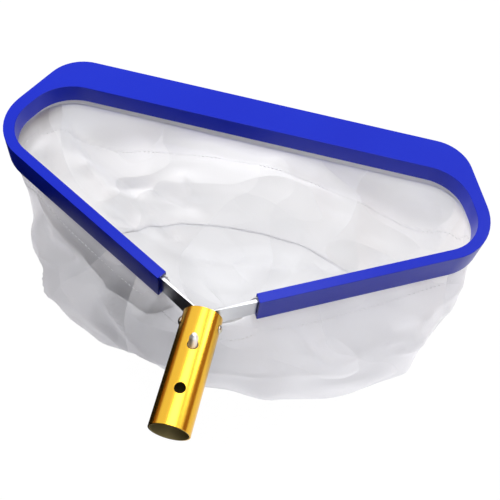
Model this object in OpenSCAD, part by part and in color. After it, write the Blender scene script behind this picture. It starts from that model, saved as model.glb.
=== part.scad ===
// Leaf skimmer net for a pool: a moulded rim with a scoop edge snapped over a
// flat-bar hoop, a deep bag sewn to a hem sleeve on the bar, and a short tube
// with a sprung clip that locks into a pole.
// Origin: centre of the tube's open end. +Y runs along the tube to the
// leading edge, +Z is up, and the rim lies level with the tube's axis.

/* [Handle tube] */
// Outside diameter of the tube
tube_od = 31.75; // [30:0.25:34]
// Wall of the tube
tube_wall = 1.5; // [1.2:0.1:1.8]
// Length of the tube
tube_len = 95; // [90:1:120]
// Diameter of the two cross holes
hole_d = 8.5; // [8.2:0.1:9]
// Distance from the open end to the lower cross hole
lock_hole_y = 28; // [18:1:36]
// Distance from the rim end of the tube back to the clip's cross hole
clip_hole_back = 32; // [31:0.5:36]

/* [Rim outline] */
// Distance from the tube's open end to the leading edge
reach = 321; // [290:1:350]
// Width across the two leading corners before rounding
lead_w = 379; // [350:1:395]
// Width across the two side corners before rounding
corner_w = 460; // [440:2:480]
// How far the side corners lie behind the leading edge
corner_set = 104; // [98:1:115]
// How far the ends of the two arms lie beyond the tube
fork_len = 15.4; // [14:0.2:24]
// Clear width between the ends of the two arms
arm_gap = 82; // [76:1:90]
// Radius of the leading corners
lead_r = 36; // [24:1:40]
// Radius of the side corners
corner_r = 50; // [40:1:52]
// Radius of the opening behind the blade
open_r = 41; // [34:1:44]

/* [Rim section] */
// Height of the rim
rim_h = 28; // [26:0.5:32]
// Thickness of the outer wall
rim_wall = 2; // [1.6:0.1:2.6]
// Thickness of the top flange
flange_t = 2; // [1.6:0.1:2.6]
// Thickness of the inner wall
inner_t = 1.6; // [1.2:0.1:2]
// Width of the scoop blade's top
blade_w = 34; // [28:1:40]
// Extra width of the flange at the sides
side_extra = 3; // [0:0.5:5]
// Depth of the inner wall round the front of the opening
inner_drop = 17.5; // [12:0.5:18]
// Depth of the inner lip along the arms
arm_drop = 5; // [4:0.5:7]
// Width of the lip under the bar
foot_w = 3.4; // [2.5:0.1:3.8]
// Thickness of the lip under the bar
foot_t = 1.6; // [1.2:0.1:2.2]
// Depth of the turned-down nose of the blade
nose_drop = 3; // [2:0.5:5]
// Thickness of the ribs under the blade
rib_t = 1.6; // [1.2:0.1:2.4]
// Largest spacing of the ribs
rib_pitch = 26; // [20:1:40]

/* [Hoop bar] */
// Height of the flat bar
bar_h = 20; // [18:0.5:21]
// Thickness of the flat bar
bar_t = 3; // [2.5:0.1:3.2]
// Length of each bar end inside the tube
bar_in = 21; // [18:0.5:22]
// Lean of the bar ends inside the tube
bar_lean = 12; // [6:1:14]
// Distance from the rim end of the tube to the rivets
rivet_back = 9.5; // [8:0.5:12]
// Diameter of the rivets
rivet_d = 4; // [3.2:0.1:4.8]
// Diameter of the rivets' domed heads
rivet_head_d = 7.6; // [6.5:0.1:8.5]

/* [Clip] */
// Lean of the two buttons towards the rim
clip_angle = 22; // [21:0.5:23]
// Diameter of the buttons
button_d = 6.8; // [6:0.1:6.9]
// How far the buttons stand out of the tube
button_out = 10; // [8:0.5:10.5]
// Width of the spring strip
clip_w = 7; // [5:0.5:7]
// Thickness of the spring strip
clip_t = 0.8; // [0.6:0.1:1]

/* [Net] */
// Thickness of the hem sleeve's cloth
hem_t = 0.6; // [0.4:0.1:0.7]
// Thickness of the bag's cloth as a solid
net_t = 1.2; // [0.8:0.1:1.6]
// Depth of the bag below the top of the rim
net_depth = 190; // [150:5:230]
// Width of the bag at its fullest
net_w = 426; // [400:2:460]
// How far the bag's fullest front lies ahead of the arms' ends
net_belly = 43; // [30:2:60]
// How far the bag's fullest back stays behind the leading edge
net_tail = 6; // [5:1:40]
// Sideways lean of the full bag
net_shift = 14; // [0:1:20]
// Sag of the hem's free stretch between the arms
hem_sag = 26; // [0:1:40]

/* [Hidden] */

// Clearance between neighbouring pieces
fit_gap = 0.3;
// Overlap used to join solids of one piece
join = 0.4;
// Clearance round the rivets
rivet_fit = 0.05;
// Thickness of the rivets' flattened tails
tail_t = 1.1;
// How far the bar runs straight past the arms before it folds
bar_out = 3;
// Points along each bend
bend_steps = 12;
// Radius of the buttons' pegs and their clearance in the clip
peg_r = 1.5;
peg_fit = 0.2;
// Thickness of the buttons' collars and their clearance above the clip
collar_t = 1;
leg_gap = 0.1;
// How far the clip's legs run past the collars
leg_over = 0.8;
// Radius of the hem's turns at the arms' ends
hem_turn = 3;
// Points on each half of the hem's free stretch
sag_steps = 5;
// Longest side of the bag's facets along its edge
net_step = 24;
// Radius of the clip's bend at mid thickness
bend_r = 2.4;
tube_r = tube_od / 2;
bore_r = tube_r - tube_wall;
rim_top = rim_h / 2;
hole_y = tube_len - clip_hole_back;
channel_w = rim_wall + 4 * fit_gap + 2 * hem_t + bar_t + inner_t;
blade_over = blade_w - channel_w;
bar_in_off = rim_wall + 2 * fit_gap + hem_t;
hem_off = rim_wall + fit_gap;
hem_w = bar_t + 2 * fit_gap + 2 * hem_t;
hem_h = bar_h + 2 * fit_gap + 2 * hem_t;

// --- Outlines -------------------------------------------------------------
// Corners run anticlockwise: right and left leading corner, left side corner,
// the point where the arms would meet, and the right side corner.
function unit(v) = v / norm(v);
function cross_at(p, u, q, v) = p + u * ((q[0] - p[0]) * v[1] - (q[1] - p[1]) * v[0])
  / (u[0] * v[1] - u[1] * v[0]);
// Moves edge i of a polygon inwards by by[i]
function inset(pts, by) = let (
    n = len(pts),
    dir = [for (i = [0 : n - 1]) unit(pts[(i + 1) % n] - pts[i])],
    start = [for (i = [0 : n - 1]) pts[i] + by[i] * [-dir[i][1], dir[i][0]]]
  ) [for (i = [0 : n - 1]) let (k = (i + n - 1) % n) cross_at(start[k], dir[k], start[i], dir[i])];
// Rounds corner i of a polygon to radius r[i]
function rounded(pts, r, steps = bend_steps) = let (n = len(pts)) [
    for (i = [0 : n - 1]) let (
      a = unit(pts[(i + n - 1) % n] - pts[i]),
      b = unit(pts[(i + 1) % n] - pts[i]),
      half = acos(a * b) / 2,
      mid = pts[i] + unit(a + b) * r[i] / sin(half),
      from = pts[i] + a * r[i] / tan(half) - mid,
      first = atan2(from[1], from[0])
    ) for (k = [0 : steps]) let (turn = first + (180 - 2 * half) * k / steps)
      mid + r[i] * [cos(turn), sin(turn)]
  ];
// Start and inner points of an edge, none further apart than step
function split(a, b, step) = let (parts = max(1, ceil(norm(b - a) / step))) [
    for (k = [0 : parts - 1]) a + (b - a) * k / parts
  ];

corner_y = reach - corner_set;
arm_end = [arm_gap / 2, tube_len + fork_len];
arm_dir = unit([corner_w / 2, corner_y] - arm_end);
arm_in = [-arm_dir[1], arm_dir[0]];
arms_meet = [0, arm_end[1] - arm_end[0] * arm_dir[1] / arm_dir[0]];
rim_corners = [
  [lead_w / 2, reach], [-lead_w / 2, reach], [-corner_w / 2, corner_y],
  arms_meet, [corner_w / 2, corner_y]
];
meet_r = 12;
channel_corners = inset(rim_corners, [blade_over, 0, 0, 0, 0]);

// Channel outline moved inwards by d
function channel(d) = rounded(inset(channel_corners, [d, d, d, d, d]), [
    open_r + channel_w - d, open_r + channel_w - d, corner_r - d, meet_r, corner_r - d
  ]);
// Edge of the opening moved outwards by d
function opening(d) = rounded(
    inset(rim_corners, [
      blade_w - d, channel_w + side_extra - d, channel_w - d, channel_w - d,
      channel_w + side_extra - d
    ]),
    [open_r + d, open_r + d, corner_r - channel_w - side_extra + d, meet_r,
      corner_r - channel_w - side_extra + d]
  );
function outline(d) = rounded(inset(rim_corners, [d, d, d, d, d]), [
    lead_r - d, lead_r - d, corner_r - d, meet_r, corner_r - d
  ]);

module ring(outer, inner, low, high) {
  translate([0, 0, low]) linear_extrude(height = high - low) difference() {
    polygon(outer);
    polygon(inner);
  }
}

// Space between the arms, from past the outer wall to past the inner wall,
// with both arms cut square; move lengthens the arms towards the tube.
module between_arms(move = 0) {
  far = 3 * channel_w;
  near = arm_end - arm_dir * move;
  low = near - arm_in * channel_w;
  high = near + arm_in * far;
  translate([0, 0, -rim_h]) linear_extrude(height = 2 * rim_h) polygon([
    low, high, [-high[0], high[1]], [-low[0], low[1]], [-low[0], 0], [low[0], 0]
  ]);
}

// --- Rim ------------------------------------------------------------------
module blade_ribs() {
  span = lead_w - 2 * lead_r;
  count = ceil(span / rib_pitch);
  root_y = reach - blade_over - join;
  tip_y = reach - rim_wall;
  for (i = [0 : count]) translate([-span / 2 + i * span / count - rib_t / 2, 0, 0])
    rotate([90, 0, 90]) linear_extrude(height = rib_t) polygon([
      [root_y, rim_top - join], [tip_y, rim_top - join],
      [tip_y, rim_top - flange_t - nose_drop + join], [root_y, -rim_top / 2]
    ]);
}

// Inner wall, deep round the front and sides and low along the arms
module inner_wall() {
  deep_y = corner_y - inner_drop;
  low_y = deep_y - 2 * inner_drop;
  difference() {
    ring(opening(inner_t), opening(0), rim_top - inner_drop, rim_top);
    translate([-corner_w / 2, 0, 0]) rotate([90, 0, 90]) linear_extrude(height = corner_w)
      polygon([
        [0, -rim_h], [deep_y, -rim_h], [deep_y, rim_top - inner_drop],
        [low_y, rim_top - arm_drop], [0, rim_top - arm_drop]
      ]);
  }
}

module rim() {
  color("royalblue") {
    difference() {
      union() {
        ring(outline(0), opening(0), rim_top - flange_t, rim_top);
        ring(channel(0), channel(rim_wall), -rim_top, rim_top - join);
        ring(channel(0), channel(rim_wall + foot_w), -rim_top, -rim_top + foot_t);
        ring(outline(0), outline(rim_wall), rim_top - flange_t - nose_drop, rim_top - join);
        inner_wall();
      }
      between_arms();
    }
    blade_ribs();
  }
}

// --- Hoop bar -------------------------------------------------------------
// Distance from the tube's axis to the outer face of a bar end
bar_seat = sqrt(pow(bore_r - fit_gap, 2) - pow(bar_h / 2, 2));

// Solid through a row of four-cornered sections: upper and lower corner of the
// outer face, then lower and upper corner of the inner face. Its faces crease
// from each lower corner up to the next section towards the tube.
module strip(sections) {
  n = len(sections);
  function id(j, k) = 4 * j + k % 4;
  polyhedron(
    points = [for (s = sections) each s],
    faces = [
      [0, 1, 2, 3],
      [for (k = [3 : -1 : 0]) id(n - 1, k)],
      for (j = [0 : n - 2], k = [0 : 3]) each (k < 2) == (j < n / 2)
        ? [[id(j, k), id(j + 1, k + 1), id(j, k + 1)], [id(j, k), id(j + 1, k), id(j + 1, k + 1)]]
        : [[id(j, k), id(j + 1, k), id(j, k + 1)], [id(j, k + 1), id(j + 1, k), id(j + 1, k + 1)]]
    ]
  );
}
function upright(outer, inner) = [
    [outer[0], outer[1], bar_h / 2], [outer[0], outer[1], -bar_h / 2],
    [inner[0], inner[1], -bar_h / 2], [inner[0], inner[1], bar_h / 2]
  ];
// Section of the right bar end at y, leaned about the tube's axis
function leaned(y) = [
    for (c = [[1, 1], [1, -1], [0, -1], [0, 1]]) let (
      x = bar_seat - bar_t * (1 - c[0]),
      z = c[1] * bar_h / 2
    ) [x * cos(bar_lean) - z * sin(bar_lean), y, x * sin(bar_lean) + z * cos(bar_lean)]
  ];
function flipped(section) = [for (p = section) [-p[0], p[1], p[2]]];

module bar_blank() {
  place = arm_end + arm_in * bar_in_off - arm_dir * bar_out;
  right = [
    leaned(tube_len - bar_in), leaned(tube_len + fit_gap),
    upright(place, place + arm_in * bar_t)
  ];
  outer = channel(bar_in_off);
  inner = channel(bar_in_off + bar_t);
  // The hoop's bends, from the right side corner round to the left one
  bends = [for (c = [4, 0, 1, 2], k = [0 : bend_steps]) let (
      i = c * (bend_steps + 1) + k
    ) upright(outer[i], inner[i])];
  strip(concat(right, bends, [for (i = [2, 1, 0]) flipped(right[i])]));
}
module rivet_hole() {
  translate([0, tube_len - rivet_back, 0]) rotate([0, 90 - bar_lean, 0])
    cylinder(r = rivet_d / 2 + rivet_fit, h = tube_r + fit_gap, $fn = 48);
}
module hoop_bar() {
  color("silver") difference() {
    bar_blank();
    rivet_hole();
    mirror([1, 0, 0]) rivet_hole();
  }
}

// --- Rivets ---------------------------------------------------------------
// Domed head on the tube and a flattened tail inside the bar end
module rivet() {
  head_h = rivet_head_d / 4;
  head_r = rivet_head_d / 2;
  seat = tube_r + rivet_fit;
  dome_r = (head_r * head_r + head_h * head_h) / (2 * head_h);
  tail = bar_seat - bar_t - rivet_fit;
  translate([0, tube_len - rivet_back, 0]) rotate([0, 90 - bar_lean, 0]) {
    translate([0, 0, tail - join]) cylinder(r = rivet_d / 2, h = seat - tail + 2 * join, $fn = 48);
    translate([0, 0, tail - tail_t]) cylinder(r = rivet_d * 0.75, h = tail_t, $fn = 48);
    translate([0, 0, seat]) rotate_extrude($fn = 48) intersection() {
      translate([0, head_h - dome_r]) circle(r = dome_r, $fn = 96);
      square([head_r, head_h]);
    }
  }
}
module rivet_right() {
  color("gainsboro") rivet();
}
module rivet_left() {
  color("gainsboro") mirror([1, 0, 0]) rivet();
}

// --- Handle tube ----------------------------------------------------------
module cross_hole(y) {
  translate([0, y, -tube_r - 1]) cylinder(r = hole_d / 2, h = tube_od + 2, $fn = 64);
}
module handle_tube() {
  color("goldenrod") difference() {
    rotate([-90, 0, 0]) cylinder(r = tube_r, h = tube_len, $fn = 128);
    translate([0, -1, 0]) rotate([-90, 0, 0]) cylinder(r = bore_r, h = tube_len + 2, $fn = 128);
    cross_hole(lock_hole_y);
    cross_hole(hole_y);
    rivet_hole();
    mirror([1, 0, 0]) rivet_hole();
  }
}

// --- Clip -----------------------------------------------------------------
// Heights along a button's own axis, from the middle of the tube's wall
wall_mid = (tube_r + bore_r) / 2;
button_tip = tube_wall / 2 + button_out;
collar_r = button_d / 2 + 1.2;
collar_top = -(wall_mid - bore_r + fit_gap + collar_r * sin(clip_angle)) / cos(clip_angle);
leg_top = collar_top - collar_t - leg_gap;

module at_button() {
  translate([0, hole_y, wall_mid]) rotate([-clip_angle, 0, 0]) children();
}
module button() {
  cone = button_d * 0.55;
  tip_r = button_d * 0.22;
  at_button() {
    rotate_extrude($fn = 64) polygon([
      [0, leg_top - clip_t], [peg_r, leg_top - clip_t], [peg_r, collar_top - collar_t],
      [collar_r, collar_top - collar_t], [collar_r, collar_top], [button_d / 2, collar_top],
      [button_d / 2, button_tip - cone], [tip_r + 0.5, button_tip - tip_r / 2],
      [tip_r, button_tip], [0, button_tip]
    ]);
  }
}
module button_top() {
  color("whitesmoke") button();
}
module button_bottom() {
  color("whitesmoke") mirror([0, 0, 1]) button();
}
// Middle of the strip where a button's peg passes through it
leg_mid = leg_top - clip_t / 2;
leg_y = hole_y + leg_mid * sin(clip_angle);
leg_z = wall_mid + leg_mid * cos(clip_angle);
bend_y = leg_y + (leg_z * cos(clip_angle) - bend_r) / sin(clip_angle);
// The V's line moved outwards by d, from the top leg's free end round the bend
function clip_line(d) = let (
    past = collar_r + leg_over,
    free_y = leg_y - past * cos(clip_angle) + d * sin(clip_angle),
    free_z = leg_z + past * sin(clip_angle) + d * cos(clip_angle),
    sweep = 90 - clip_angle
  ) concat(
    [[free_y, free_z]],
    [for (k = [-bend_steps : bend_steps]) let (
      t = -k * sweep / bend_steps
    ) [bend_y + (bend_r + d) * cos(t), (bend_r + d) * sin(t)]],
    [[free_y, -free_z]]
  );
module clip_spring() {
  line = clip_line(clip_t / 2);
  back = clip_line(-clip_t / 2);
  color("lightgray") difference() {
    translate([-clip_w / 2, 0, 0]) rotate([90, 0, 90]) linear_extrude(height = clip_w)
      polygon(concat(line, [for (k = [len(back) - 1 : -1 : 0]) back[k]]));
    for (side = [0, 1]) mirror([0, 0, side]) at_button() translate([0, 0, leg_top - clip_t - 1])
      cylinder(r = peg_r + peg_fit, h = clip_t + 2, $fn = 48);
  }
}

// --- Net ------------------------------------------------------------------
// The hem follows the bar along the channel and crosses slack between the
// ends of the arms.
cross_y = arm_end[1] + arm_in[1] * (bar_in_off + bar_t + fit_gap);
cross_x = (cross_y - arms_meet[1]) / arm_dir[1] * arm_dir[0];
net_corners = let (c = channel_corners) [
    c[0], c[1], c[2], [-cross_x, cross_y], [cross_x, cross_y], c[4]
  ];
function net_line(d) = rounded(inset(net_corners, [d, d, d, d - hem_off - hem_w + hem_t, d, d]), [
    open_r + channel_w - d, open_r + channel_w - d, corner_r - d, hem_turn, hem_turn, corner_r - d
  ]);
// Half the straight stretch of the crossing, and places along it
free_x = cross_x - (hem_off + hem_w) / arm_dir[1] - hem_turn / 2;
free_line = [for (k = [-sag_steps : sag_steps]) free_x * k / sag_steps];
function sag(x) = hem_sag * max(0, 1 - pow(x / free_x, 2));

module hem_sleeve() {
  inner = hem_off + hem_w - hem_t;
  color("white") {
    difference() {
      ring(net_line(hem_off), net_line(hem_off + hem_w), -hem_h / 2, hem_h / 2);
      ring(net_line(hem_off + hem_t), net_line(inner), -hem_h / 2 + hem_t, hem_h / 2 - hem_t);
      difference() {
        ring(net_line(-channel_w), net_line(inner), -rim_h, rim_h);
        translate([-corner_w, arm_end[1] + channel_w, -2 * rim_h])
          cube([2 * corner_w, 2 * reach, 4 * rim_h]);
      }
      translate([join - free_x, cross_y - join, -rim_h])
        cube([2 * (free_x - join), hem_t + 2 * join, 2 * rim_h]);
    }
    translate([0, cross_y + hem_t, 0]) rotate([90, 0, 0]) linear_extrude(height = hem_t)
      polygon([
        for (x = free_line) [x, -hem_h / 2 - sag(x)],
        for (k = [len(free_line) - 1 : -1 : 0]) [free_line[k], hem_h / 2 - sag(free_line[k])]
      ]);
  }
}

// Rings of the bag, from its top edge at t = 0 to its lowest point at t = 1.
// Each ring blends the hem's line into a full oval and draws in to the floor.
net_top = -hem_h / 2 - fit_gap;
net_start = -rim_top - fit_gap;
net_low = rim_top - net_depth;
front_y = arm_end[1] - net_belly;
back_y = reach - net_tail;
oval = 2.2;
function sgnpow(v, e) = sign(v) * pow(abs(v), e);
function bag_ring(line, t, grow) = let (
    w = 1 - pow(1 - t, 4.1),
    s = pow(max(0, 1 - pow(t, 1.56)), 1 / 4.46),
    mid = [net_shift * w, (1 - w) * corner_y + w * (front_y + back_y) / 2]
  ) [for (k = [0 : len(line) - 1]) let (
      p = line[k],
      a = atan2(p[1] - corner_y, p[0]),
      full = [
        net_shift + (net_w / 2 + grow) * sgnpow(cos(a), 2 / oval),
        (front_y + back_y) / 2 + ((back_y - front_y) / 2 + grow) * sgnpow(sin(a), 2 / oval)
      ],
      q = mid + ((1 - w) * p + w * full - mid) * s
    ) [q[0], q[1], net_start + (net_low - net_start - grow) * t - net_sag[k] * pow(1 - t, 2)]];
// Top edge of the bag, inside the rim and below the hem
function bag_edge(line) = [
    for (k = [0 : len(line) - 1]) [line[k][0], line[k][1], net_top - net_sag[k]]
  ];
function quad(a, b, c, d) = [[a, b, c], [a, c, d]];
// Bowl between an outer and an inner stack of closed rings, open at its first
// ring and shut at its last
module bowl(outer, inner) {
  rows = len(outer);
  n = len(outer[0]);
  last = rows - 1;
  function id(side, row, k) = (side * rows + row) * n + k % n;
  polyhedron(
    points = [for (r = outer) each r, for (r = inner) each r],
    faces = [
      for (j = [0 : rows - 2], k = [0 : n - 1]) each concat(
        quad(id(0, j, k), id(0, j, k + 1), id(0, j + 1, k + 1), id(0, j + 1, k)),
        quad(id(1, j, k), id(1, j + 1, k), id(1, j + 1, k + 1), id(1, j, k + 1))
      ),
      for (k = [0 : n - 1]) each quad(id(0, 0, k), id(1, 0, k), id(1, 0, k + 1), id(0, 0, k + 1)),
      [for (k = [0 : n - 1]) id(0, last, k)],
      [for (k = [n - 1 : -1 : 0]) id(1, last, k)]
    ],
    convexity = 6
  );
}
// Panel between an outer and an inner stack of open rows, closed all round
module panel(outer, inner) {
  rows = len(outer);
  n = len(outer[0]);
  function id(side, row, k) = (side * rows + row) * n + k;
  function lip(j) = [
      for (k = [0 : n - 2]) each quad(id(0, j, k), id(1, j, k), id(1, j, k + 1), id(0, j, k + 1))
    ];
  function seam(k) = [
      for (j = [0 : rows - 2]) each quad(id(0, j, k), id(0, j + 1, k), id(1, j + 1, k), id(1, j, k))
    ];
  function back(faces) = [for (f = faces) [f[2], f[1], f[0]]];
  polyhedron(
    points = [for (r = outer) each r, for (r = inner) each r],
    faces = concat(
      [for (j = [0 : rows - 2], k = [0 : n - 2]) each concat(
        quad(id(0, j, k), id(0, j, k + 1), id(0, j + 1, k + 1), id(0, j + 1, k)),
        quad(id(1, j, k), id(1, j + 1, k), id(1, j + 1, k + 1), id(1, j, k + 1))
      )],
      lip(0), back(lip(rows - 1)), seam(0), back(seam(n - 1))
    ),
    convexity = 6
  );
}
net_off = hem_off + hem_w - net_t;
net_round = rounded(
    inset(net_corners, [net_off, net_off, net_off, 0, net_off, net_off]),
    [open_r + channel_w - net_off, open_r + channel_w - net_off, corner_r - net_off, hem_turn,
      hem_turn, corner_r - net_off], 5
  );
net_edge = [for (i = [0 : len(net_round) - 1]) let (
    a = net_round[i],
    b = net_round[(i + 1) % len(net_round)]
  ) each norm([a[1] - cross_y, b[1] - cross_y]) < fit_gap && norm(b - a) > free_x
    ? concat([a], [for (x = free_line) [x, cross_y]])
    : split(a, b, net_step)];
net_sag = [for (p = net_edge) p[1] < cross_y + fit_gap ? sag(p[0]) : 0];
net_inner = [for (p = net_edge) p + net_t * unit([0, corner_y] - p)];
floor_share = 0.82;
wall_steps = [0, 0.06, 0.14, 0.24, 0.36, 0.5, 0.64, 0.75, floor_share];
floor_steps = [floor_share + 0.004, 0.88, 0.93, 0.97, 0.992, 0.999];
net_outer = [bag_edge(net_edge), for (t = wall_steps) bag_ring(net_edge, t, 0)];
net_lining = [bag_edge(net_inner), for (t = wall_steps) bag_ring(net_inner, t, -net_t)];
// Direction from the middle of the bag to each point of its top edge, 0 to 360
net_turn = [for (p = net_edge) (atan2(p[1] - corner_y, p[0]) + 360) % 360];
// Directions of the four seams, from the line across the side corners
seam_back = 20;
seam_front = 18;
function columns(rows, keep) = [for (r = rows) [for (k = keep) r[k]]];
// Points of the top edge next to a direction, past it and before it
function past(turn) = min([for (k = [0 : len(net_turn) - 1]) if (net_turn[k] >= turn) k]);
function before(turn) = max([
    for (k = [0 : len(net_turn) - 1]) if (net_turn[k] <= turn && net_turn[k] > turn - 90) k
  ]);
back_from = past(seam_back);
back_to = before(180 - seam_back);
front_from = past(180 + seam_front);
front_to = before(360 - seam_front);
module net_panel(keep) {
  color("gainsboro") panel(columns(net_outer, keep), columns(net_lining, keep));
}
module bag_back() {
  net_panel([back_from : back_to]);
}
module bag_left() {
  net_panel([back_to : front_from]);
}
module bag_front() {
  net_panel([front_from : front_to]);
}
module bag_right() {
  net_panel([for (k = [front_to : len(net_edge) + back_from]) k % len(net_edge)]);
}
module bag_floor() {
  color("lightgray") bowl(
    [for (t = floor_steps) bag_ring(net_edge, t, 0)],
    [for (t = floor_steps) bag_ring(net_inner, t, -net_t)]
  );
}

rim();
hoop_bar();
hem_sleeve();
bag_front();
bag_back();
bag_left();
bag_right();
bag_floor();
handle_tube();
rivet_left();
rivet_right();
clip_spring();
button_top();
button_bottom();
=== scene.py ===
import math
import bpy
import bmesh
import numpy as np
from mathutils import Matrix, Vector, noise


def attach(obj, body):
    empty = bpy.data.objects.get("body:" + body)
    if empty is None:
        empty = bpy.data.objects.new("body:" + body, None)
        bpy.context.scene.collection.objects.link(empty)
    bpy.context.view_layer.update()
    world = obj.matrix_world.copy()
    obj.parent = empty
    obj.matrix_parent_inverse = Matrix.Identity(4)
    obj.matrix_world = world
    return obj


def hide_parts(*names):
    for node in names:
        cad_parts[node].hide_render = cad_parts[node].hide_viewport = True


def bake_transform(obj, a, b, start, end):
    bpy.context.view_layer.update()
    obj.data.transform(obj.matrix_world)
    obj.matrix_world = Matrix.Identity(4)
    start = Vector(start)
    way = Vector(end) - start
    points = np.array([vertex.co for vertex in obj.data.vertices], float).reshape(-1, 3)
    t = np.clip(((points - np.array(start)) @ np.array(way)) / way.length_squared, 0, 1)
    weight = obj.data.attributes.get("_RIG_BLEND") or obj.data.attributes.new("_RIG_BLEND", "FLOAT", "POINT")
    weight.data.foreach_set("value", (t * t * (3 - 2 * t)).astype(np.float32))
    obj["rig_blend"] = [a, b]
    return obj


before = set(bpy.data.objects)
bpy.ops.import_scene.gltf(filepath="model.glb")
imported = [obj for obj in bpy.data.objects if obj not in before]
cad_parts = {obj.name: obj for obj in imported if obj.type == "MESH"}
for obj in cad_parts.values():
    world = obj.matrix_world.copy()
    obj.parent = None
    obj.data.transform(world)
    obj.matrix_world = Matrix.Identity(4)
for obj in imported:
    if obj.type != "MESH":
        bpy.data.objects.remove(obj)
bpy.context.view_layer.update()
scene = bpy.context.scene


def say(stage):
    print("[net]", stage)


# where the camera stands, in metres, and which way its picture runs
cameraValues = {
    "at": (0.04702, -0.15050, 0.48986),
    "right": (0.97191, 0.21731, 0.09035),
    "down": (0.23142, -0.81264, -0.53485),
    "lens": 50.4,
}


def addCamera(values):
    right = Vector(values["right"]).normalized()
    up = -Vector(values["down"])
    up = (up - right * up.dot(right)).normalized()
    turn = Matrix((right, up, right.cross(up))).transposed()
    data = bpy.data.cameras.new("camera")
    data.lens = values["lens"]
    data.sensor_width = 36
    data.clip_start = 0.01
    obj = bpy.data.objects.new("camera", data)
    scene.collection.objects.link(obj)
    obj.matrix_world = Matrix.Translation(values["at"]) @ turn.to_4x4()
    scene.camera = obj


addCamera(cameraValues)
say("camera")


class Wire:
    # one socket of a node tree, so that masks read as sums
    def __init__(self, paint, socket):
        self.paint = paint
        self.socket = socket

    def math(self, kind, a, b):
        return self.paint.node("Math", {"operation": kind}, {0: a, 1: b})

    def __add__(self, other):
        return self.math("ADD", self, other)

    def __radd__(self, other):
        return self.math("ADD", other, self)

    def __sub__(self, other):
        return self.math("SUBTRACT", self, other)

    def __rsub__(self, other):
        return self.math("SUBTRACT", other, self)

    def __mul__(self, other):
        return self.math("MULTIPLY", self, other)

    def __pow__(self, other):
        return self.math("POWER", self, other)

    def clear(self):
        return self.paint.node("Clamp", {}, {"Value": self})


class Paint:
    # the nodes of one material or world
    def __init__(self, block, end="OutputMaterial"):
        self.block = block
        block.use_nodes = True
        self.tree = block.node_tree
        self.tree.nodes.clear()
        self.end = self.tree.nodes.new("ShaderNode" + end)

    def node(self, kind, settings, values, out=0):
        made = self.tree.nodes.new("ShaderNode" + kind)
        for key, value in settings.items():
            setattr(made, key, value)
        for key, value in values.items():
            self.feed(made.inputs[key], value)
        return Wire(self, made.outputs[out])

    def feed(self, socket, value):
        if isinstance(value, Wire):
            self.tree.links.new(value.socket, socket)
        elif isinstance(value, (tuple, list)) and socket.type == "RGBA":
            socket.default_value = (*value[:3], 1)
        else:
            socket.default_value = value

    def place(self, stretch):
        coordinates = self.node("TexCoord", {}, {}, out="Object")
        return self.node("Mapping", {}, {"Vector": coordinates, "Scale": stretch})

    def axis(self, name):
        coordinates = self.node("TexCoord", {}, {}, out="Object")
        return self.node("SeparateXYZ", {}, {0: coordinates}, out=name)

    def noise(self, scale, detail, stretch=(1, 1, 1)):
        return self.node("TexNoise", {}, {"Vector": self.place(stretch), "Scale": scale, "Detail": detail})

    def crease(self, scale, stretch):
        # 0 along sharp winding lines, more beside them
        wave = self.noise(scale, 0.6, stretch)
        return self.node("Math", {"operation": "ABSOLUTE"}, {0: wave - 0.5})

    def mix(self, amount, a, b):
        made = self.tree.nodes.new("ShaderNodeMix")
        made.data_type = "RGBA"
        self.feed(made.inputs[0], amount)
        self.feed(made.inputs[6], a)
        self.feed(made.inputs[7], b)
        return Wire(self, made.outputs[2])

    def bump(self, height, strength, distance):
        return self.node("Bump", {}, {"Height": height, "Strength": strength, "Distance": distance})

    def finish(self, shader):
        self.tree.links.new(shader.socket, self.end.inputs["Surface"])
        return self.block


def rimPlastic(values):
    # glossy moulded plastic with a faint orange peel and fine handling marks
    paint = Paint(bpy.data.materials.new("rimPlastic"))
    drift = paint.noise(values["drift"], 3.0)
    peel = paint.noise(values["peel"], 2.0)
    scuff = paint.noise(values["scuff"], 6.0, (1, 6, 1))
    return paint.finish(paint.node("BsdfPrincipled", {}, {
        "Base Color": paint.mix(drift, values["deep"], values["clear"]),
        "Roughness": values["gloss"] + scuff * values["scuffGloss"],
        "Specular IOR Level": values["shine"],
        "Normal": paint.bump(peel, 0.10, values["peelDepth"]),
    }))


def goldTube(values):
    # drawn and anodised tube, duller in its bore, where painted shade darkens its colour
    paint = Paint(bpy.data.materials.new("goldTube"))
    drawn = paint.noise(values["drawn"], 4.0, (1, 0.02, 1))
    cloud = paint.noise(values["cloud"], 3.0, (1, 0.3, 1))
    radius = (paint.axis("X") ** 2.0 + paint.axis("Z") ** 2.0) ** 0.5
    # mask of the bore: painted shade in the colour, and a rougher finish
    boreWithPaintedShade = ((values["boreRadius"] - radius) * values["boreEdge"]).clear()
    skin = paint.mix(cloud, values["dark"], values["gold"])
    return paint.finish(paint.node("BsdfPrincipled", {}, {
        "Base Color": paint.mix(boreWithPaintedShade, skin, values["boreWithPaintedShade"]),
        "Metallic": 1.0,
        "Roughness": values["gloss"] + drawn * values["drawnGloss"] + boreWithPaintedShade * values["boreGloss"],
        "Normal": paint.bump(drawn, 0.06, values["drawnDepth"]),
    }))


metalValues = {"grain": 800.0, "cloud": 60.0, "dim": 0.86, "grainGloss": 0.12, "grainDepth": 0.0002}


def bareMetal(name, values):
    # satin metal with a grain that runs along the piece
    paint = Paint(bpy.data.materials.new(name))
    grain = paint.noise(metalValues["grain"], 5.0, values["grain"])
    cloud = paint.noise(metalValues["cloud"], 4.0)
    dim = tuple(c * metalValues["dim"] for c in values["colour"])
    return paint.finish(paint.node("BsdfPrincipled", {}, {
        "Base Color": paint.mix(cloud, dim, values["colour"]),
        "Metallic": 1.0,
        "Roughness": values["gloss"] + grain * metalValues["grainGloss"],
        "Normal": paint.bump(grain, 0.08, metalValues["grainDepth"]),
    }))


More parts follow.
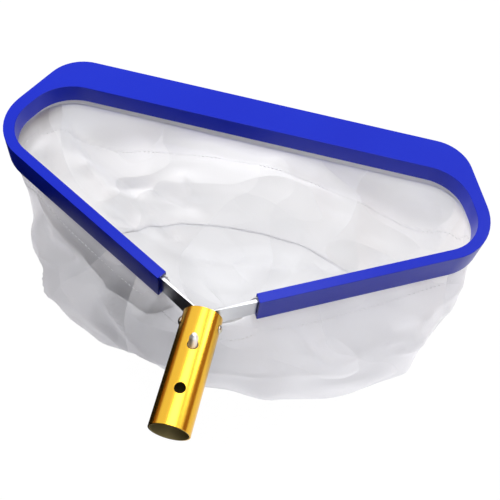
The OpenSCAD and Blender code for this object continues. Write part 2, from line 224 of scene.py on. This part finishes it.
clothValues = {"threads": 420.0, "threadDepth": 0.0003, "cloud": 14.0, "gloss": 0.42, "sheen": 0.10,
               "longRun": (1, 1, 0.3), "shortRun": (0.4, 1, 1), "shortScale": 2.3, "shortShare": 0.35}


def meshCloth(name, values):
    # fine woven mesh: some light passes between the threads, some through them
    paint = Paint(bpy.data.materials.new(name))
    thread = paint.node("UVMap", {"uv_map": "thread"}, {})
    across, along = (paint.node("TexWave", {"bands_direction": way},
                                {"Vector": thread, "Scale": clothValues["threads"]}) for way in "XY")
    weave = paint.bump(across * along, 0.18, clothValues["threadDepth"])
    long = paint.crease(values["creases"], clothValues["longRun"])
    short = paint.crease(values["creases"] * clothValues["shortScale"], clothValues["shortRun"])
    relief = paint.node("Bump", {}, {
        "Height": long + short * clothValues["shortShare"],
        "Strength": 1.0,
        "Distance": values["creaseDepth"],
        "Normal": weave,
    })
    cloud = paint.noise(clothValues["cloud"], 4.0)
    single = paint.mix(cloud, values["shade"], values["colour"])
    # where the cloth is doubled, nothing shows between its threads
    hemmed = paint.node("Attribute", {"attribute_name": "double"}, {}, out="Fac")
    body = paint.node("BsdfPrincipled", {}, {
        "Base Color": paint.mix(hemmed, single, values["double"]),
        "Roughness": clothValues["gloss"],
        "Sheen Weight": clothValues["sheen"],
        "Alpha": (values["cover"] + hemmed * (1 - values["cover"])).clear(),
        "Normal": relief,
    })
    glow = paint.node("BsdfTranslucent", {}, {"Color": values["glow"], "Normal": relief})
    return paint.finish(paint.node("MixShader", {}, {0: values["through"], 1: body, 2: glow}))


finishes = {
    "rim": {
        "deep": (0.000, 0.009, 0.430), "clear": (0.001, 0.020, 0.500), "gloss": 0.26, "shine": 0.26,
        "drift": 9.0, "peel": 700.0, "peelDepth": 0.0004, "scuff": 60.0, "scuffGloss": 0.10,
    },
    "gold": {
        "gold": (0.90, 0.53, 0.055), "dark": (0.84, 0.47, 0.040), "cloud": 40.0, "gloss": 0.19,
        "drawn": 900.0, "drawnGloss": 0.07, "drawnDepth": 0.0002,
        # the bore's colour is painted shade for the dim inside of the tube
        "boreWithPaintedShade": (0.30, 0.25, 0.12), "boreRadius": 0.0151, "boreEdge": 4000, "boreGloss": 0.35,
    },
    "bar": {"colour": (0.72, 0.73, 0.76), "gloss": 0.24, "grain": (0.05, 0.05, 1)},
    "rivet": {"colour": (0.70, 0.66, 0.55), "gloss": 0.20, "grain": (1, 1, 1)},
    "button": {"colour": (0.96, 0.96, 0.96), "gloss": 0.42, "grain": (1, 1, 1)},
    "clip": {"colour": (0.60, 0.61, 0.63), "gloss": 0.22, "grain": (1, 0.05, 1)},
    "net": {
        "colour": (0.790, 0.790, 0.822), "shade": (0.755, 0.755, 0.790), "double": (0.93, 0.93, 0.94),
        "glow": (0.97, 0.97, 0.99), "through": 0.60, "cover": 0.80, "creases": 8.0, "creaseDepth": 0.085,
    },
    "hem": {
        "colour": (0.91, 0.91, 0.93), "shade": (0.88, 0.88, 0.905), "double": (0.93, 0.93, 0.94),
        "glow": (0.88, 0.88, 0.88), "through": 0.25, "cover": 1.0, "creases": 40.0, "creaseDepth": 0.001,
    },
}
materials = {
    "rim": rimPlastic(finishes["rim"]),
    "gold": goldTube(finishes["gold"]),
    "bar": bareMetal("barAluminium", finishes["bar"]),
    "rivet": bareMetal("rivetMetal", finishes["rivet"]),
    "button": bareMetal("buttonMetal", finishes["button"]),
    "clip": bareMetal("springSteel", finishes["clip"]),
    "net": meshCloth("netCloth", finishes["net"]),
    "hem": meshCloth("hemCloth", finishes["hem"]),
}
say("materials")


def moulded(node, name, material, edge, weld=2e-6, bands=((-1, 1),), sharp=28):
    # a copy of the solid's mesh with its loose triangles merged and its edges
    # rounded, one band of heights after another
    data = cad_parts[node].data.copy()
    data.name = name
    data.materials.clear()
    data.materials.append(material)
    mesh = bmesh.new()
    mesh.from_mesh(data)
    bmesh.ops.remove_doubles(mesh, verts=mesh.verts, dist=weld)
    bmesh.ops.dissolve_limit(mesh, angle_limit=math.radians(0.6), verts=mesh.verts, edges=mesh.edges)
    bmesh.ops.connect_verts_concave(mesh, faces=mesh.faces)
    before = sum(f.calc_area() for f in mesh.faces)
    for low, high in bands:
        corners = [e for e in mesh.edges if len(e.link_faces) == 2
                   and e.calc_face_angle(0) > math.radians(sharp)
                   and all(low < v.co.z < high for v in e.verts)]
        bmesh.ops.bevel(mesh, geom=corners, offset=edge, offset_type="OFFSET", segments=3, profile=0.5,
                        affect="EDGES", material=-1, clamp_overlap=True)
    after = sum(f.calc_area() for f in mesh.faces)
    print("   ", name, "area", round(before * 1e6), "->", round(after * 1e6), "square mm")
    for face in mesh.faces:
        face.smooth = True
    mesh.to_mesh(data)
    mesh.free()
    for layer in [a.name for a in data.attributes if a.name.startswith("custom_normal")]:
        data.attributes.remove(data.attributes[layer])
    obj = bpy.data.objects.new(name, data)
    scene.collection.objects.link(obj)
    obj.modifiers.new("even", "WEIGHTED_NORMAL").weight = 100
    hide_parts(node)
    return obj


# the rim's top and bottom edges are rounded apart, because a bevel is never
# wider than the shortest edge beside it
rimEdges = {"weld": 0.0001, "bands": ((0.0139, 1), (-1, -0.0139))}
# solid: name, finish, width of the rounded edge, body and slot
hardPieces = {
    "rim": ("rimMoulding", "rim", 0.0007, "frame", "blue_plastic"),
    "hoop_bar": ("hoopBar", "bar", 0.0004, "frame", "aluminium_bar"),
    "handle_tube": ("handleTube", "gold", 0.0003, "frame", "gold_tube"),
    "rivet_left": ("rivetLeft", "rivet", 0.0003, "frame", "rivet_metal"),
    "rivet_right": ("rivetRight", "rivet", 0.0003, "frame", "rivet_metal"),
    "button_top": ("buttonTop", "button", 0.0003, "top_button", "button_metal"),
    "button_bottom": ("buttonBottom", "button", 0.0003, "bottom_button", "button_metal"),
}
for node, (name, finish, edge, body, slot) in hardPieces.items():
    piece = moulded(node, name, materials[finish], edge, **(rimEdges if node == "rim" else {}))
    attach(piece, body)
say("rim, bar, tube and buttons")

# the clip's legs, cut apart at the middle of the bend; each one bends from the
# bend's end to the collar of its button
clipValues = {"edge": 0.0002, "bend": 0.0823, "collar": 0.0645}


def clipLeg(name, up, button, values):
    leg = moulded("clip_spring", name, materials["clip"], values["edge"])
    mesh = bmesh.new()
    mesh.from_mesh(leg.data)
    bmesh.ops.bisect_plane(mesh, geom=mesh.verts[:] + mesh.edges[:] + mesh.faces[:], plane_co=(0, 0, 0),
                           plane_no=(0, 0, -up), clear_outer=True)
    mesh.to_mesh(leg.data)
    mesh.free()
    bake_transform(leg, "frame", button, start=(0, values["bend"], 0), end=(0, values["collar"], 0))


clipLeg("clipUpper", 1, "top_button", clipValues)
clipLeg("clipLower", -1, "bottom_button", clipValues)
say("clip")


bagValues = {
    "leadEdge": 0.296,      # where the channel runs behind the blade
    "leadHalf": 0.19924,
    "sideHalf": 0.230,
    "sideY": 0.217,
    "armAngle": 29.42,
    "crossY": 0.11606,      # the slack stretch between the arms
    "crossSag": 0.034,
    "crossFree": 0.0351,
    "crossPull": 0.003,
    "crossBand": 0.0010,    # what lies no further than this from it hangs with it
    "edgeIn": 0.0059,
    "leadTurn": 0.0441,
    "sideTurn": 0.0441,
    "armTurn": 0.003,
    "top": -0.0112,
    "start": -0.0143,
    "low": -0.176,
    "rest": -0.1765,        # the height of what the bag rests on
    "halfWidth": 0.213,
    "front": 0.0674,
    "back": 0.315,
    "lean": 0.014,
    "oval": 2.2,
    "spread": 4.1,          # how soon the wall leaves the edge's shape for the oval
    "belly": 1.56,          # how late it turns in, and how flat the floor is
    "flat": 4.46,
    "slackOval": 2.2,
    "slackRise": 0.75,
    "seam": 0.82,
    "floorEnd": 0.9995,
    "columns": 300,
    "rows": 44,
    "rowsBelow": 16,
    "threadAround": 1.15,
    "threadDown": 1.3,
    "hemLow": -0.022,       # the doubled hem's lower edge, and its dip at the back
    "hemBack": -0.030,
    "hemBehind": 0.03,
    "hemDip": 0.030,
    "hemDipX": 0.02,
    "hemDipHalf": 0.20,
    "hemFade": 0.002,
}


def insetPath(points, by):
    count = len(points)
    along = [(points[(i + 1) % count] - points[i]).normalized() for i in range(count)]
    starts = [points[i] + by[i] * Vector((-along[i].y, along[i].x)) for i in range(count)]
    moved = []
    for i in range(count):
        p, u, q, v = starts[i - 1], along[i - 1], starts[i], along[i]
        s = ((q.x - p.x) * v.y - (q.y - p.y) * v.x) / (u.x * v.y - u.y * v.x)
        moved.append(p + u * s)
    return moved


def roundPath(points, radii, steps=8):
    count = len(points)
    path = []
    for i in range(count):
        a = (points[i - 1] - points[i]).normalized()
        b = (points[(i + 1) % count] - points[i]).normalized()
        half = a.angle(b) / 2
        middle = points[i] + (a + b).normalized() * radii[i] / math.sin(half)
        begin = points[i] + a * radii[i] / math.tan(half) - middle
        first = math.atan2(begin.y, begin.x)
        for k in range(steps + 1):
            t = first + (math.pi - 2 * half) * k / steps
            path.append(middle + radii[i] * Vector((math.cos(t), math.sin(t))))
    return path


def evenPath(points, count):
    # the same closed line with evenly spaced points
    lengths = [0.0]
    for i in range(len(points)):
        lengths.append(lengths[-1] + (points[(i + 1) % len(points)] - points[i]).length)
    even = []
    k = 0
    for i in range(count):
        want = lengths[-1] * i / count
        while lengths[k + 1] < want:
            k += 1
        share = (want - lengths[k]) / max(1e-9, lengths[k + 1] - lengths[k])
        even.append(points[k].lerp(points[(k + 1) % len(points)], share))
    return even


def netPath(v):
    slope = math.radians(v["armAngle"])
    meet = v["sideY"] - v["sideHalf"] * math.tan(slope)
    crossX = (v["crossY"] - meet) / math.tan(slope)
    corners = [Vector(p) for p in (
        (v["leadHalf"], v["leadEdge"]), (-v["leadHalf"], v["leadEdge"]), (-v["sideHalf"], v["sideY"]),
        (-crossX, v["crossY"]), (crossX, v["crossY"]), (v["sideHalf"], v["sideY"]))]
    inside = insetPath(corners, [v["edgeIn"]] * 3 + [0.0] + [v["edgeIn"]] * 2)
    turns = [v["leadTurn"]] * 2 + [v["sideTurn"]] + [v["armTurn"]] * 2 + [v["sideTurn"]]
    return evenPath(roundPath(inside, turns), v["columns"])


def slack(v, x, y):
    # how far the edge hangs down between the arms, as a share
    if y > v["crossY"] + v["crossBand"]:
        return 0.0
    return max(0.0, 1 - min(1.0, abs(x) / v["crossFree"]) ** v["slackOval"]) ** v["slackRise"]


def bagPoint(v, p, t):
    # where a point of the top edge lies once it has gone the share t down the bag
    w = 1 - (1 - t) ** v["spread"]
    s = max(0.0, 1 - t ** v["belly"]) ** (1 / v["flat"])
    turn = math.atan2(p.y - v["sideY"], p.x)
    power = 2 / v["oval"]
    fullX = v["lean"] + v["halfWidth"] * math.copysign(abs(math.cos(turn)) ** power, math.cos(turn))
    fullY = (v["front"] + v["back"]) / 2 + (v["back"] - v["front"]) / 2 * math.copysign(
        abs(math.sin(turn)) ** power, math.sin(turn))
    middle = Vector((v["lean"] * w, (1 - w) * v["sideY"] + w * (v["front"] + v["back"]) / 2))
    q = middle + ((1 - w) * p + w * Vector((fullX, fullY)) - middle) * s
    loose = slack(v, p.x, p.y) * (1 - t) ** 2
    return Vector((q.x, q.y - v["crossPull"] * loose,
                   v["start"] + (v["low"] - v["start"]) * t - v["crossSag"] * loose))


def bagSteps(v):
    wall = [v["seam"] * k / v["rows"] for k in range(v["rows"] + 1)]
    below = [v["seam"] + (v["floorEnd"] - v["seam"]) * (1 - (1 - k / v["rowsBelow"]) ** 2)
             for k in range(1, v["rowsBelow"] + 1)]
    return wall + below


def hemEdge(v, p):
    # height of the doubled hem's lower edge below this point of the top edge
    if p.y <= v["leadEdge"] - v["hemBehind"]:
        return v["hemLow"]
    return v["hemBack"] - v["hemDip"] * max(0.0, 1 - ((p.x - v["hemDipX"]) / v["hemDipHalf"]) ** 2)


def loftBag(v):
    path = netPath(v)
    count = len(path)
    mesh = bmesh.new()
    level = mesh.verts.layers.float.new("level")
    column = mesh.verts.layers.float.new("column")
    double = mesh.verts.layers.float.new("double")
    uv = mesh.loops.layers.uv.new("thread")
    loose = [slack(v, p.x, p.y) for p in path]
    ring = [mesh.verts.new((p.x, p.y - v["crossPull"] * k, v["top"] - v["crossSag"] * k))
            for p, k in zip(path, loose)]
    edges = [mesh.edges.new((ring[i], ring[(i + 1) % count])) for i in range(count)]
    levels = [ring]
    for t in bagSteps(v):
        grown = bmesh.ops.extrude_edge_only(mesh, edges=edges)["geom"]
        fresh = {g for g in grown if isinstance(g, bmesh.types.BMVert)}
        edges = [g for g in grown if isinstance(g, bmesh.types.BMEdge)]
        ring = [next(e.other_vert(vert) for e in vert.link_edges if e.other_vert(vert) in fresh)
                for vert in ring]
        for vert, p in zip(ring, path):
            vert.co = bagPoint(v, p, t)
        levels.append(ring)
    centre = mesh.verts.new(sum((vert.co for vert in ring), Vector()) / count)
    for i in range(count):
        mesh.faces.new((ring[i], ring[(i + 1) % count], centre))
    bmesh.ops.recalc_face_normals(mesh, faces=mesh.faces)
    for k, ring in enumerate(levels):
        for i, vert in enumerate(ring):
            vert[level] = k
            vert[column] = i
    centre[level] = len(levels)
    centre[column] = 0
    turn = {vert: i for ring in levels for i, vert in enumerate(ring)}
    for face in mesh.faces:
        across = [turn.get(loop.vert) for loop in face.loops]
        wraps = 0 in across and count - 1 in across
        for loop, i in zip(face.loops, across):
            if i is None:
                i = max(k for k in across if k is not None)
            u = (count if wraps and i == 0 else i) * v["threadAround"] / count
            loop[uv].uv = (u, loop.vert.co.z * v["threadDown"])
        face.smooth = True
    for ring in levels:
        for vert, p in zip(ring, path):
            vert[double] = min(1.0, max(0.0, (vert.co.z - hemEdge(v, p)) / v["hemFade"]))
    data = bpy.data.meshes.new("bagCloth")
    mesh.to_mesh(data)
    mesh.free()
    obj = bpy.data.objects.new("bagCloth", data)
    scene.collection.objects.link(obj)
    return obj


# creases of the cloth: height in mm (out of the bag, or into it where less than
# nothing), width in mm, and the points along the crease in mm
bagFolds = {
    "backRidge": (-15, 10, [(-178, 273, -29), (-157, 265, -52), (-129, 273, -89), (-103, 283, -97),
                            (-82, 286, -113), (-62, 286, -126)]),
    "backShade": (8, 9, [(-165, 259, -55), (-138, 262, -97), (-112, 270, -118)]),
    "backBranch": (-12, 9, [(-129, 272, -93), (-108, 269, -128), (-92, 267, -143), (-72, 262, -157)]),
    "backShort": (10, 6, [(-71, 294, -94), (-59, 290, -119)]),
    "leftInside": (8, 7, [(-160, 259, -67), (-133, 261, -115)]),
    "leftTop": (6, 6, [(-183, 283, -17), (-173, 279, -24)]),
    "hemBand": (-4, 7, [(-142, 287, -22), (-77, 292, -39), (-25, 303, -55), (60, 303, -62),
                        (124, 290, -40), (182, 286, -22)]),
    "floorEdge": (-10, 7, [(-132, 255, -125), (-103, 250, -153), (-56, 245, -170), (-6, 247, -173),
                           (32, 255, -170), (118, 261, -150), (155, 264, -116)]),
    "floorFold": (-4, 12, [(-75, 246, -166), (-22, 231, -175), (0, 204, -176)]),
    "floorRim": (-4, 12, [(-54, 214, -175), (-20, 202, -176), (16, 217, -176)]),
    "leftLong": (10, 5, [(-162, 180, -20), (-108, 133, -29), (-72, 99, -46), (-42, 86, -68)]),
    "leftCrumple": (-12, 7, [(-184, 188, -29), (-161, 154, -47), (-148, 147, -42), (-132, 138, -37)]),
    "leftLow": (11, 6, [(-170, 172, -60), (-149, 135, -57), (-143, 123, -79)]),
    "leftCross": (-10, 6, [(-123, 142, -29), (-96, 121, -32)]),
    "leftFoot": (8, 6, [(-110, 112, -62), (-80, 96, -70), (-62, 88, -78)]),
    "rightThin": (9, 4, [(62, 119, -20), (81, 113, -29), (103, 105, -46)]),
    "frontFlap": (7, 5, [(40, 108, -30), (48, 103, -38), (10, 100, -56)]),
    "rightLong": (9, 7, [(115, 107, -50), (146, 128, -46), (176, 160, -40), (208, 201, -30)]),
    "rightShine": (10, 6, [(174, 147, -50), (184, 158, -50), (204, 182, -48)]),
    "frontSeam": (6, 3.5, [(-64, 88, -74), (-39, 84, -77), (12, 84, -74), (52, 87, -64), (72, 90, -55),
                           (123, 104, -60), (163, 129, -58), (188, 156, -55)]),
}


def readBag(obj):
    # places, normals and rows of the bag's vertices
    count = len(obj.data.vertices)
    points = np.empty(count * 3)
    normals = np.empty(count * 3)
    level = np.empty(count)
    obj.data.vertices.foreach_get("co", points)
    obj.data.vertex_normals.foreach_get("vector", normals)
    obj.data.attributes["level"].data.foreach_get("value", level)
    return points.reshape(-1, 3), normals.reshape(-1, 3), level


def rumpleBag(obj, values):
    # broad dents and sharp winding creases, fainter near the held edge and where
    # the slack stretch hangs
    points, normals, level = readBag(obj)
    lift = np.empty(len(points))
    for i, (x, y, z) in enumerate(points):
        dent = noise.noise(Vector((x, y, z)) * values["dents"])
        crest = abs(noise.noise(Vector((x, y, z * values["run"])) * values["crests"]))
        fine = abs(noise.noise(Vector((x * values["run"], y, z)) * values["crests"] * 2))
        lift[i] = values["dent"] * dent + values["crest"] * (values["middle"] - crest - fine / 3)
    # the slack stretch between the arms keeps its line further down
    (forkX, forkY), (wide, deep) = values["fork"], values["forkSize"]
    away = np.hypot((points[:, 0] - forkX) / wide, (points[:, 1] - forkY) / deep)
    nearFork = np.clip(values["forkReach"] - away, 0, 1)
    rows = values["fadeRows"] + (values["forkRows"] - values["fadeRows"]) * nearFork
    lift = lift * np.clip((level - 1) / rows, 0, 1)
    print("    cloth moved", round(float(abs(lift).mean()) * 1000, 2), "mm on average,",
          round(float(abs(lift).max()) * 1000, 2), "at most")
    points = points + normals * lift[:, None]
    obj.data.vertices.foreach_set("co", points.ravel())
    obj.data.update()


def foldBag(obj, folds, values):
    points, normals, level = readBag(obj)
    lift = np.zeros(len(points))
    for height, width, line in folds.values():
        line = np.array(line) / 1000
        near = np.full(len(points), 1.0)
        for a, b in zip(line, line[1:]):
            share = np.clip((points - a) @ (b - a) / ((b - a) @ (b - a)), 0, 1)
            near = np.minimum(near, np.linalg.norm(points - a - share[:, None] * (b - a), axis=1))
        # a crest that is sharp but not broken
        away = np.hypot(near * 1000, values["crest"]) - values["crest"]
        lift += height / 1000 * np.exp(-away / width)
    edge = np.clip((level - values["plainRows"]) / values["fadeRows"], 0, 1)
    points = points + normals * (lift * edge)[:, None]
    points[:, 2] = np.maximum(points[:, 2], bagValues["rest"])
    obj.data.vertices.foreach_set("co", points.ravel())
    obj.data.update()


def easeBag(obj):
    # takes the last hard corners out of the cloth, but for its top edge
    mesh = bmesh.new()
    mesh.from_mesh(obj.data)
    level = mesh.verts.layers.float["level"]
    free = [v for v in mesh.verts if v[level] > 2]
    bmesh.ops.smooth_vert(mesh, verts=free, factor=0.5, use_axis_x=True, use_axis_y=True, use_axis_z=True)
    mesh.to_mesh(obj.data)
    mesh.free()


rumpleValues = {
    "dent": 0.005, "dents": 11.0, "crest": 0.011, "crests": 15.0, "run": 0.4, "middle": 0.22, "fadeRows": 9,
    "fork": (0, 0.10), "forkSize": (0.06, 0.045), "forkReach": 1.6, "forkRows": 34,
}
foldValues = {"crest": 1.2, "plainRows": 2, "fadeRows": 7}

bag = loftBag(bagValues)
rumpleBag(bag, rumpleValues)
foldBag(bag, bagFolds, foldValues)
easeBag(bag)
bag.data.materials.append(materials["net"])
say("creases")


def gridOf(obj):
    # place of the vertex in each row and column of the bag
    level, column = (obj.data.attributes[name].data for name in ("level", "column"))
    return {(int(k.value), int(i.value)): index for index, (k, i) in enumerate(zip(level, column))}


def cutPanel(source, name, keep):
    # a copy of the bag with only the faces that keep() holds to
    data = source.data.copy()
    data.name = name
    mesh = bmesh.new()
    mesh.from_mesh(data)
    level = mesh.verts.layers.float["level"]
    gone = [f for f in mesh.faces if not keep(min(v[level] for v in f.verts))]
    bmesh.ops.delete(mesh, geom=gone, context="FACES")
    mesh.to_mesh(data)
    mesh.free()
    # both sides of the seam keep the whole bag's normals
    panel = bpy.data.objects.new(name, data)
    grid = gridOf(source)
    whole = source.data.vertex_normals
    places = sorted((index, place) for place, index in gridOf(panel).items())
    data.normals_split_custom_set_from_vertices([whole[grid[place]].vector for _, place in places])
    scene.collection.objects.link(panel)
    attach(panel, "frame")
    return panel


def stitchLine(name, line, values):
    # short thread stitches one after another along a closed line
    length = sum((b - a).length for a, b in zip(line, line[1:] + line[:1]))
    places = evenPath(line, round(length / values["pitch"]))
    mesh = bmesh.new()
    for a, b in zip(places, places[1:] + places[:1]):
        along = (b - a).normalized()
        turn = along.to_track_quat("X", "Z").to_matrix().to_4x4()
        shape = Matrix.Diagonal((values["long"] / 2, values["thick"] / 2, values["thick"] / 2, 1))
        bmesh.ops.create_icosphere(mesh, subdivisions=1, radius=1,
                                   matrix=Matrix.Translation(a.lerp(b, 0.5)) @ turn @ shape)
    for face in mesh.faces:
        face.smooth = True
    data = bpy.data.meshes.new(name)
    mesh.to_mesh(data)
    mesh.free()
    data.uv_layers.new(name="thread")
    data.materials.append(materials["hem"])
    stitches = bpy.data.objects.new(name, data)
    scene.collection.objects.link(stitches)
    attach(stitches, "frame")
    return stitches


def seamTape(name, line, values):
    # folded tape over the seam, drawn as a round cord
    path = bpy.data.curves.new(name, "CURVE")
    path.dimensions = "3D"
    path.bevel_depth = values["tape"] / 2
    path.bevel_resolution = 2
    spline = path.splines.new("POLY")
    spline.points.add(len(line) - 1)
    for point, place in zip(spline.points, line):
        point.co = (*place, 1)
    spline.use_cyclic_u = True
    tube = bpy.data.objects.new(name, path)
    data = bpy.data.meshes.new_from_object(tube)
    bpy.data.objects.remove(tube)
    data.name = name
    data.materials.clear()
    data.materials.append(materials["hem"])
    if "thread" not in data.uv_layers:
        data.uv_layers.new(name="thread")
    tape = bpy.data.objects.new(name, data)
    scene.collection.objects.link(tape)
    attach(tape, "frame")
    return tape


def hemSeam(source, grid, values):
    # the line under the doubled hem, evened out over its neighbours
    verts = source.data.vertices
    doubled = source.data.attributes["double"].data
    line = []
    for i in range(bagValues["columns"]):
        below = (k for k in range(2, seamLevel) if doubled[grid[k, i]].value < 0.5)
        line.append(verts[grid[max(next(below, 2), values["firstRow"]), i]].co.copy())
    count = len(line)
    reach = range(-values["even"], values["even"] + 1)
    return [sum((line[(i + k) % count] for k in reach), Vector()) / len(reach) for i in range(count)]


def floorSeam(source, grid, values):
    # the seam's own line, moved out so that the tape lies on the cloth
    ring = [source.data.vertices[grid[seamLevel, i]] for i in range(bagValues["columns"])]
    return [vert.co + vert.normal * values["tape"] * values["tapeOut"] for vert in ring]


seamValues = {"pitch": 0.0042, "long": 0.0030, "thick": 0.0007, "firstRow": 4, "even": 2,
              "tape": 0.0020, "tapeOut": 0.4}
bagGrid = gridOf(bag)
seamLevel = bagValues["rows"] + 1
hemLine = hemSeam(bag, bagGrid, seamValues)
floorLine = floorSeam(bag, bagGrid, seamValues)

bagWall = cutPanel(bag, "bagWall", lambda k: k < seamLevel)
bagFloor = cutPanel(bag, "bagFloor", lambda k: k >= seamLevel)
bpy.data.objects.remove(bag)
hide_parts("bag_front", "bag_back", "bag_left", "bag_right")
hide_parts("bag_floor")
hemStitches = stitchLine("hemStitches", hemLine, seamValues)
floorTape = seamTape("floorTape", floorLine, seamValues)
say("bag panels")

hemValues = {"edge": 0.0002, "plainSag": 0.026}
hem = moulded("hem_sleeve", "hemSleeve", materials["hem"], hemValues["edge"])
hem.data.uv_layers.new(name="thread")
for vert in hem.data.vertices:
    # the slack stretch hangs a little deeper than its plain solid
    if vert.co.y < bagValues["crossY"] + bagValues["crossBand"] and abs(vert.co.x) < bagValues["crossFree"]:
        loose = slack(bagValues, vert.co.x, vert.co.y)
        plain = hemValues["plainSag"] * (1 - (vert.co.x / bagValues["crossFree"]) ** 2)
        vert.co.z += plain - bagValues["crossSag"] * loose
        vert.co.y -= bagValues["crossPull"] * loose
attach(hem, "frame")
say("hem")


stageValues = {
    "floor": -0.178,
    "floorWhite": 1.02,
    "floorShare": 0.96,
    "world": 0.30,
    "aim": (0, 0.2, 0),
    # a lamp that no gloss shows is soft
    "lamps": {
        "topLamp": {"at": (0.10, 0.30, 1.4), "size": (1.1, 1.1), "energy": 12.8},
        "keyLamp": {"at": (0.95, 0.85, 0.75), "size": (0.5, 0.5), "energy": 5.0},
        "fillLamp": {"at": (1.2, -0.6, 0.6), "size": (0.7, 0.7), "energy": 1.0},
        "leftLamp": {"at": (-1.0, 0.60, 0.6), "size": (0.5, 0.5), "energy": 9.0, "soft": True},
    },
    # cards: middle, the way each faces, its width and height, and its colour
    # where it is not dark
    "cards": {
        "leftCard": {"at": (-0.92, 0.42, -0.04), "facing": (0.92, -0.37, 0.13), "size": (1.0, 0.50),
                     "colour": (0.32, 0.13, 0.03)},
        "rightCard": {"at": (0.87, 0.42, 0.16), "facing": (-0.87, -0.37, -0.16), "size": (1.0, 0.50),
                      "colour": (0.32, 0.13, 0.03)},
        "flag": {"at": (-0.80, -0.80, 0.30), "facing": (0.6, 0.8, 0), "size": (1.8, 1.2)},
        "armCard": {"at": (-0.128, 0.085, -0.032), "facing": (0, 0, 1), "size": (0.27, 0.15), "turn": -0.5135},
        "endCard": {"at": (-0.262, 0.215, -0.032), "facing": (0, 0, 1), "size": (0.10, 0.24), "turn": -0.2},
        "floorFlag": {"at": (-0.72, -0.55, -0.170), "facing": (0, 0, 1), "size": (1.44, 1.5),
                      "glossOnly": True},
    },
    "dark": (0.01, 0.01, 0.012),
}


def seenDirectly(paint):
    # 1 for what the camera, a gloss or a clear piece sees
    path = paint.tree.nodes.new("ShaderNodeLightPath")
    camera, gloss, through = (Wire(paint, path.outputs[f"Is {name} Ray"])
                              for name in ("Camera", "Glossy", "Transmission"))
    return (camera + gloss + through).clear()


def addPlane(name, size):
    mesh = bmesh.new()
    bmesh.ops.create_grid(mesh, x_segments=1, y_segments=1, size=0.5)
    bmesh.ops.scale(mesh, verts=mesh.verts, vec=(size[0], size[1], 1))
    data = bpy.data.meshes.new(name)
    mesh.to_mesh(data)
    mesh.free()
    plane = bpy.data.objects.new(name, data)
    scene.collection.objects.link(plane)
    return plane


def addFloor(values):
    floor = addPlane("floor", (60, 60))
    floor.location.z = values["floor"]
    paint = Paint(bpy.data.materials.new("paleFloor"))
    matt = paint.node("BsdfDiffuse", {}, {"Color": (0.9, 0.9, 0.9)})
    white = paint.node("Emission", {}, {"Color": (1, 1, 1), "Strength": values["floorWhite"]})
    seen = seenDirectly(paint) * values["floorShare"]
    floor.data.materials.append(paint.finish(paint.node("MixShader", {}, {0: seen, 1: matt, 2: white})))


def addWorld(strength):
    scene.world = bpy.data.worlds.new("studio")
    paint = Paint(scene.world, "OutputWorld")
    soft = paint.node("Background", {}, {"Color": (1, 1, 1), "Strength": strength})
    white = paint.node("Background", {}, {"Color": (1, 1, 1), "Strength": 1.0})
    paint.finish(paint.node("MixShader", {}, {0: seenDirectly(paint), 1: soft, 2: white}))


def addCard(name, values):
    card = addPlane(name, values["size"])
    card.location = values["at"]
    aim = Vector(values["facing"]).to_track_quat("Z", "Y")
    card.rotation_euler = (aim.to_matrix() @ Matrix.Rotation(values.get("turn", 0.0), 3, "Z")).to_euler()
    card.visible_camera = False
    card.visible_diffuse = not values.get("glossOnly", False)
    card.visible_shadow = False
    paint = Paint(bpy.data.materials.new(name))
    colour = values.get("colour", stageValues["dark"])
    card.data.materials.append(paint.finish(paint.node("Emission", {}, {"Color": colour})))


def addLamp(name, values):
    data = bpy.data.lights.new(name, "AREA")
    data.shape = "RECTANGLE"
    data.size, data.size_y = values["size"]
    data.energy = values["energy"]
    lamp = bpy.data.objects.new(name, data)
    scene.collection.objects.link(lamp)
    lamp.location = values["at"]
    away = Vector(stageValues["aim"]) - Vector(values["at"])
    lamp.rotation_euler = away.to_track_quat("-Z", "Y").to_euler()
    lamp.visible_glossy = not values.get("soft", False)


scene.view_settings.view_transform = "Standard"
addFloor(stageValues)
addWorld(stageValues["world"])
for name, values in stageValues["lamps"].items():
    addLamp(name, values)
for name, values in stageValues["cards"].items():
    addCard(name, values)
say("stage")
